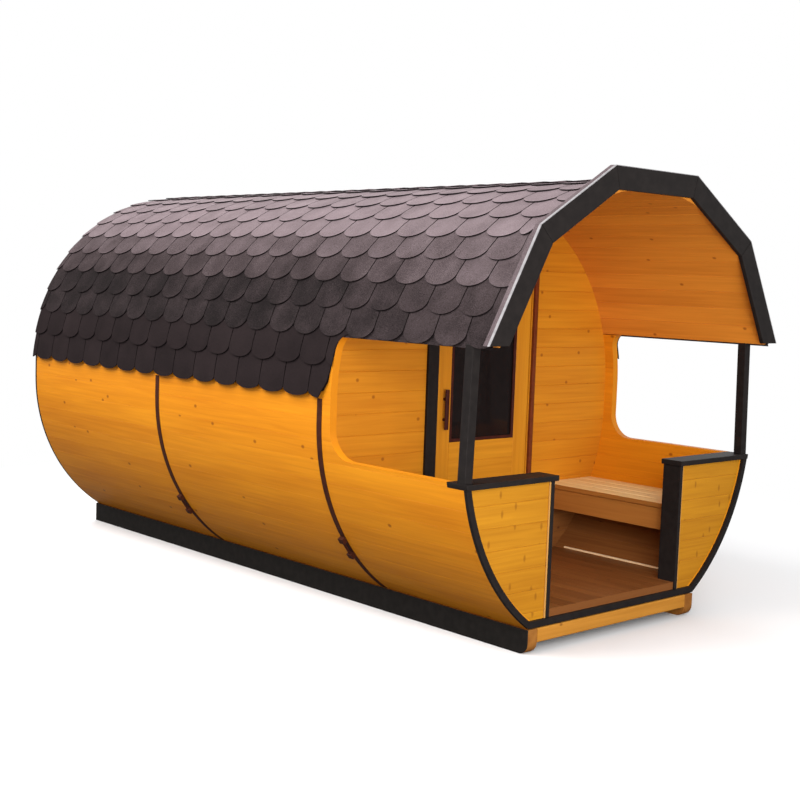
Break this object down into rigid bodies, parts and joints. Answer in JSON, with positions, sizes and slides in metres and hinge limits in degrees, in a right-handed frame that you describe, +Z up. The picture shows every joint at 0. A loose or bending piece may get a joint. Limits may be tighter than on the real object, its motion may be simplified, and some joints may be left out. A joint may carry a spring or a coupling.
{
  "type": "outdoor sauna",
  "caption": "Oval timber outdoor sauna on skids, with a covered porch, half walls, benches, rounded side openings, a glazed hinged door and a round shingle roof",
  "frame": {"origin": "centre of the footprint on the ground, under the skids", "axes": "+Z up, porch and entry face -Y, +Y runs to the closed rear end, X=0 is the plane of symmetry of the hull"},
  "size_m": [2.2616, 4.124, 2.2805],
  "materials": {
    "amber_wood": "amber glaze, satin",
    "dark_stained_wood": "near-black stain, satin",
    "dark_skid_wood": "dark stain on the sides, bare end grain",
    "floor_wood": "brown stain, matt",
    "bench_wood": "pale, clear finish",
    "red_brown_wood": "dark red-brown, satin",
    "bitumen_shingle": "bitumen shingle with mineral granules, matt",
    "steel_strap": "dark brown paint",
    "drip_metal": "pale grey coating",
    "smoked_glass": "bronze tinted, clear"
  },
  "bodies": {
    "sauna": {"bench_apron_left": "bench_wood", "bench_apron_right": "bench_wood", "bench_seat_left": "bench_wood", "bench_seat_right": "bench_wood", "bulkhead_left": "amber_wood", "bulkhead_over_door": "amber_wood", "bulkhead_right": "amber_wood", "door_casing_head": "dark_stained_wood", "door_casing_left": "dark_stained_wood", "door_casing_right": "red_brown_wood", "door_hinge_pins": "steel_strap", "door_stops": "dark_stained_wood", "drip_edge": "drip_metal", "floor": "floor_wood", "floor_laths": "amber_wood", "front_bargeboards": "dark_stained_wood", "front_cross_beam": "amber_wood", "front_trim_left": "dark_stained_wood", "front_trim_right": "dark_stained_wood", "half_wall_cap_left": "dark_stained_wood", "half_wall_cap_right": "dark_stained_wood", "half_wall_end_left": "dark_stained_wood", "half_wall_end_right": "dark_stained_wood", "half_wall_left": "amber_wood", "half_wall_right": "amber_wood", "hull_high_left": "amber_wood", "hull_high_right": "amber_wood", "hull_low_left": "amber_wood", "hull_low_right": "amber_wood", "post_left": "dark_stained_wood", "post_right": "dark_stained_wood", "rear_cross_beam": "amber_wood", "rear_trim": "dark_stained_wood", "rear_wall": "amber_wood", "roof_side_left": "amber_wood", "roof_side_right": "amber_wood", "roof_top": "amber_wood", "roof_upper_left": "amber_wood", "roof_upper_right": "amber_wood", "shingles_side_left": "bitumen_shingle", "shingles_side_right": "bitumen_shingle", "shingles_top": "bitumen_shingle", "shingles_upper_left": "bitumen_shingle", "shingles_upper_right": "bitumen_shingle", "sill_trim": "dark_stained_wood", "skid_left": "dark_skid_wood", "skid_right": "dark_skid_wood", "skirt_left": "bitumen_shingle", "skirt_right": "bitumen_shingle", "strap_porch": "steel_strap", "strap_room": "steel_strap", "threshold": "dark_stained_wood", "verge_fillet": "bitumen_shingle"},
    "door": {"door_leaf": "amber_wood", "door_glass": "smoked_glass", "door_handle": "red_brown_wood", "door_hinge_flaps": "steel_strap"}
  },
  "joints": [
    {"name": "door_hinge", "type": "hinge", "parent": "sauna", "child": "door", "pos_m": [0.3815, -0.956, 1.1], "axis": [0, 0, 1], "range_deg": [0, 95]}
  ]
}
